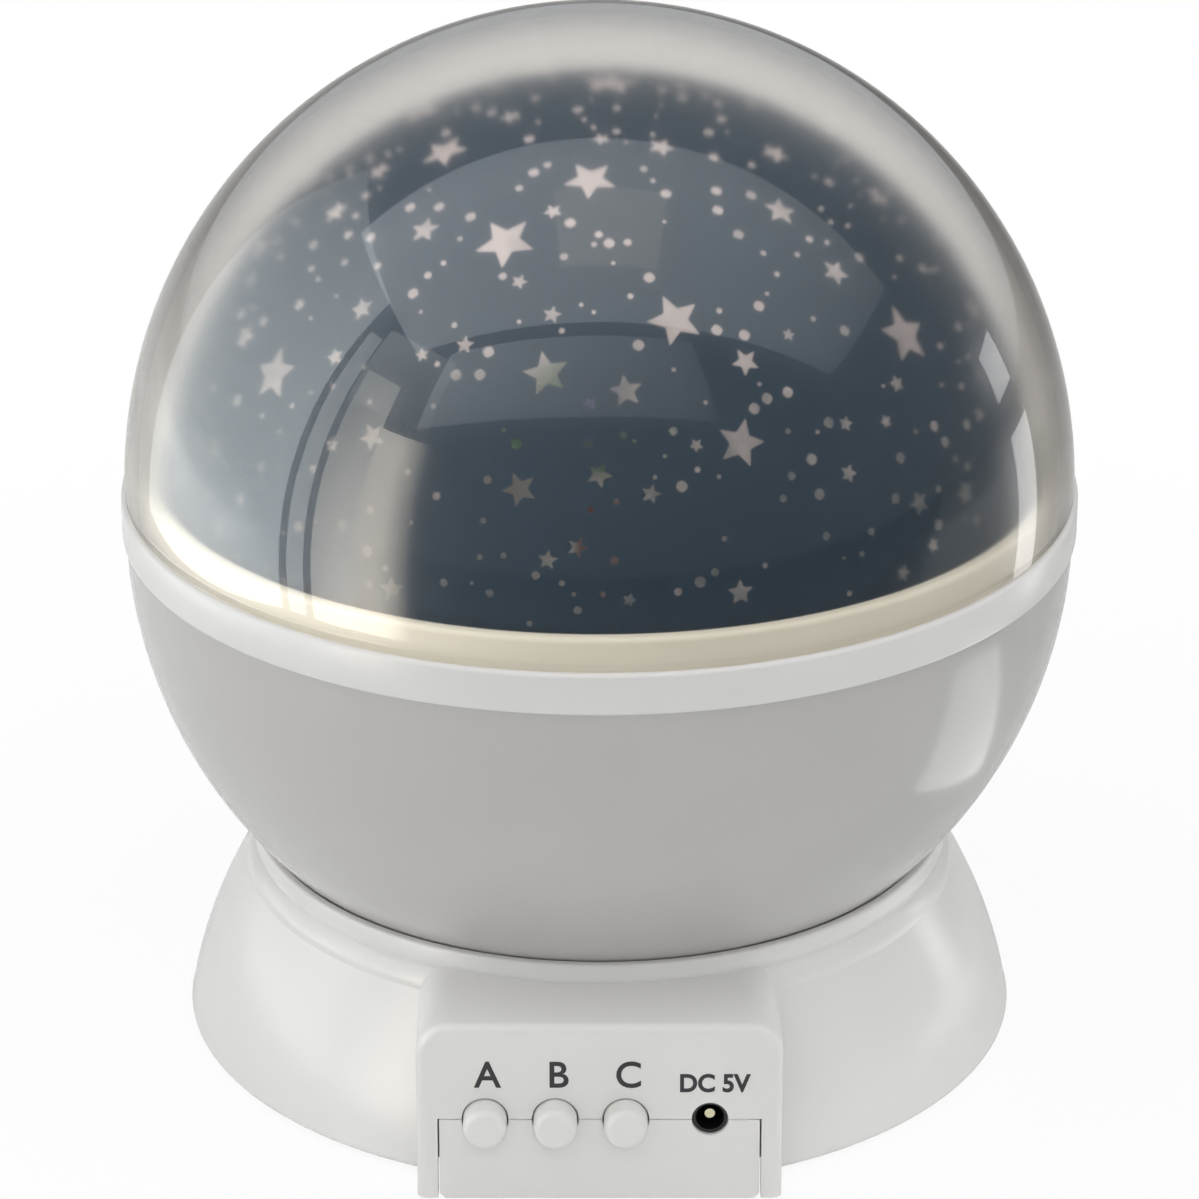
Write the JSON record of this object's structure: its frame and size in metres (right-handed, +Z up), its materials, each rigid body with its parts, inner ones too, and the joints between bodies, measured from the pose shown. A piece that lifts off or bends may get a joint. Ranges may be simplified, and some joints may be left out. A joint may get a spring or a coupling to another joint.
{
  "type": "planetarium projector",
  "caption": "Desktop star projector: a dark star-film dome under a clear cover turns with its bowl on a flared base that has push-buttons and a supply socket.",
  "frame": {"origin": "on the globe's turning axis, at the level of the rubber feet's undersides", "axes": "+Z up along the turning axis; the button panel faces -Y; +X is to the right as the panel is faced"},
  "size_m": [0.125, 0.125, 0.1379],
  "materials": {
    "white_plastic": "glossy injection-moulded",
    "grey_plastic": "glossy injection-moulded",
    "clear_plastic": "polished, clear",
    "star_film": "thin moulded film, dark print with clear stars",
    "ivory_plastic": "satin",
    "foot_rubber": "matte",
    "steel": "bright zinc or nickel plate",
    "brass": "plain",
    "board_green": "solder-masked board",
    "black_plastic": "satin",
    "plunger_plastic": "satin",
    "cell_jacket": "plain coloured jacket",
    "wire_insulation": "satin, one colour to each lead",
    "led_white": "clear epoxy",
    "led_red": "tinted epoxy",
    "led_green": "tinted epoxy",
    "led_blue": "tinted epoxy"
  },
  "bodies": {
    "base": {"base_housing": "white_plastic", "base_cover": "white_plastic", "lamp_stem": "white_plastic", "hub_bush": "ivory_plastic", "gearbox": "ivory_plastic", "rubber_feet": "foot_rubber", "cover_screws": "steel", "board_screws": "steel", "motor_screws": "steel", "stem_screws": "steel", "lamp_screws": "steel", "battery_springs": "steel", "contact_plates": "steel", "motor_can": "steel", "motor_clamp": "steel", "jack_pin": "brass", "control_board": "board_green", "lamp_board": "board_green", "driver_chip": "black_plastic", "capacitor": "black_plastic", "light_switch": "black_plastic", "colour_switch": "black_plastic", "rotate_switch": "black_plastic", "jack_body": "black_plastic", "battery_cell_1": "cell_jacket", "battery_cell_2": "cell_jacket", "battery_cell_3": "cell_jacket", "battery_cell_4": "cell_jacket", "led_leads": "wire_insulation", "motor_leads": "wire_insulation", "battery_leads": "wire_insulation", "led_warm_white": "led_white", "led_red": "led_red", "led_green": "led_green", "led_blue": "led_blue"},
    "globe": {"bowl": "grey_plastic", "globe_hub": "grey_plastic", "belt_ring": "white_plastic", "film_seat_ring": "ivory_plastic", "film_dome": "star_film", "drive_gear": "ivory_plastic", "gear_screws": "steel"},
    "cover": {"clear_cover": "clear_plastic"},
    "pinion": {"motor_shaft": "steel", "drive_pinion": "ivory_plastic"},
    "light_key": {"light_button": "white_plastic", "light_plunger": "plunger_plastic"},
    "colour_key": {"colour_button": "white_plastic", "colour_plunger": "plunger_plastic"},
    "rotate_key": {"rotate_button": "white_plastic", "rotate_plunger": "plunger_plastic"},
    "battery_hatch": {"battery_door": "white_plastic", "door_screw": "steel"}
  },
  "joints": [
    {"name": "globe_spin", "type": "hinge", "parent": "base", "child": "globe", "pos_m": [0, 0, 0.0252], "axis": [0, 0, 1], "continuous": true},
    {"name": "pinion_spin", "type": "hinge", "parent": "base", "child": "pinion", "pos_m": [0.031, 0, 0.0186], "axis": [0, 0, 1], "continuous": true},
    {"name": "cover_lift", "type": "slide", "parent": "globe", "child": "cover", "axis": [0, 0, 1], "range_m": [0, 0.075]},
    {"name": "light_press", "type": "slide", "parent": "base", "child": "light_key", "axis": [0, 1, 0], "range_m": [0, 0.0018], "stiffness_N_per_m": 400, "springref_m": -0.001},
    {"name": "colour_press", "type": "slide", "parent": "base", "child": "colour_key", "axis": [0, 1, 0], "range_m": [0, 0.0018], "stiffness_N_per_m": 400, "springref_m": -0.001},
    {"name": "rotate_press", "type": "slide", "parent": "base", "child": "rotate_key", "axis": [0, 1, 0], "range_m": [0, 0.0018], "stiffness_N_per_m": 400, "springref_m": -0.001},
    {"name": "hatch_swing", "type": "hinge", "parent": "base", "child": "battery_hatch", "pos_m": [0, -0.0247, 0.0012], "axis": [-1, 0, 0], "range_deg": [0, 50]}
  ],
  "couplings": [
    {"joint": "pinion_spin", "follows": "globe_spin", "ratio": -3.4286}
  ]
}
